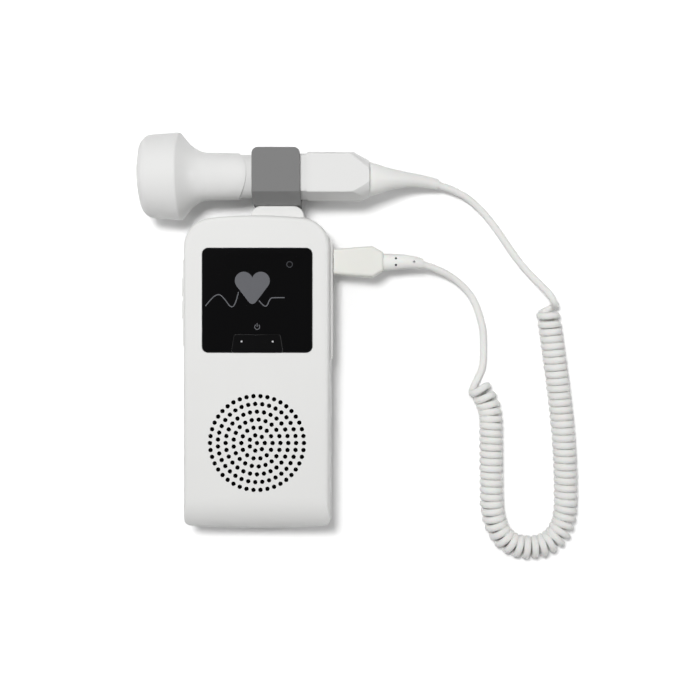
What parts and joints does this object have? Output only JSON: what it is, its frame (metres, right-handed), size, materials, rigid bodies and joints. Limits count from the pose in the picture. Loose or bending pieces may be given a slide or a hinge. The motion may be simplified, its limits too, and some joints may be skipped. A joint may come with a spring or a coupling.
{
  "type": "fetal doppler monitor",
  "caption": "White pocket fetal doppler lying on its back: black window, round speaker grille, hand probe held in a grey clip on its top end, and a curly lead plugged into its right side.",
  "frame": {"origin": "middle of the flat back that the unit rests on, on the rear cover", "axes": "+X across the unit towards the probe socket, +Y along the unit towards its probe clip, +Z from its back to its front"},
  "size_m": [0.2188, 0.2122, 0.0431],
  "materials": {
    "case_white": "satin moulded shell",
    "lens_black": "polished, back printed",
    "button_black": "fine satin",
    "clip_grey": "matte moulded",
    "probe_white": "satin moulded",
    "lead_white": "soft satin jacket",
    "plug_white": "soft overmould",
    "board_green": "solder mask",
    "part_black": "moulded",
    "lamp_clear": "clear",
    "cloth_black": "fine cloth",
    "foam_black": "closed-cell foam",
    "speaker_steel": "zinc plated",
    "magnet_plated": "nickel plated",
    "paper_black": "pressed paper",
    "cell_jacket": "plain printed jacket",
    "spring_steel": "nickel plated",
    "pin_gold": "gold plated",
    "ceramic_crystal": "fired ceramic, silvered"
  },
  "bodies": {
    "main_unit": {"front_cover": "case_white", "rear_cover": "case_white", "display_window": "lens_black", "main_board": "board_green", "board_chips": "part_black", "tact_switches": "part_black", "display_module": "part_black", "indicator_led": "lamp_clear", "dust_screen": "cloth_black", "speaker_gasket": "foam_black", "speaker_frame": "speaker_steel", "speaker_cone": "paper_black", "speaker_magnet": "magnet_plated", "case_screws": "speaker_steel", "board_screws": "speaker_steel", "left_battery": "cell_jacket", "right_battery": "cell_jacket", "battery_contacts": "spring_steel", "left_battery_spring": "spring_steel", "right_battery_spring": "spring_steel", "probe_socket": "part_black", "earphone_jack": "part_black", "probe_clip": "clip_grey"},
    "power_button": {"power_button": "button_black"},
    "volume_up_key": {"volume_up_key": "case_white"},
    "volume_down_key": {"volume_down_key": "case_white"},
    "battery_door": {"battery_door": "case_white"},
    "lead": {"plug_body": "plug_white", "plug_barrel": "spring_steel", "plug_pins": "pin_gold", "plug_strain_relief": "lead_white", "plug_cord_tail": "lead_white", "curly_cord": "lead_white", "probe_cord_tail": "lead_white"},
    "probe": {"probe_face": "probe_white", "probe_head": "probe_white", "probe_handle_front": "probe_white", "probe_handle_rear": "probe_white", "crystals": "ceramic_crystal", "crystal_backing": "foam_black", "probe_board": "board_green", "probe_strain_relief": "lead_white"}
  },
  "joints": [
    {"name": "press_power", "type": "slide", "parent": "main_unit", "child": "power_button", "axis": [0, 0, -1], "range_m": [0, 0.0006], "stiffness_N_per_m": 2000},
    {"name": "press_volume_up", "type": "slide", "parent": "main_unit", "child": "volume_up_key", "axis": [1, 0, 0], "range_m": [0, 0.0005], "stiffness_N_per_m": 2000},
    {"name": "press_volume_down", "type": "slide", "parent": "main_unit", "child": "volume_down_key", "axis": [1, 0, 0], "range_m": [0, 0.0005], "stiffness_N_per_m": 2000},
    {"name": "slide_battery_door", "type": "slide", "parent": "main_unit", "child": "battery_door", "axis": [0, -1, 0], "range_m": [0, 0.067]},
    {"name": "unplug_lead", "type": "slide", "parent": "main_unit", "child": "lead", "axis": [1, 0, 0], "range_m": [0, 0.009]},
    {"name": "lift_probe_out", "type": "slide", "parent": "lead", "child": "probe", "axis": [0, 1, 0], "range_m": [0, 0.03]}
  ]
}
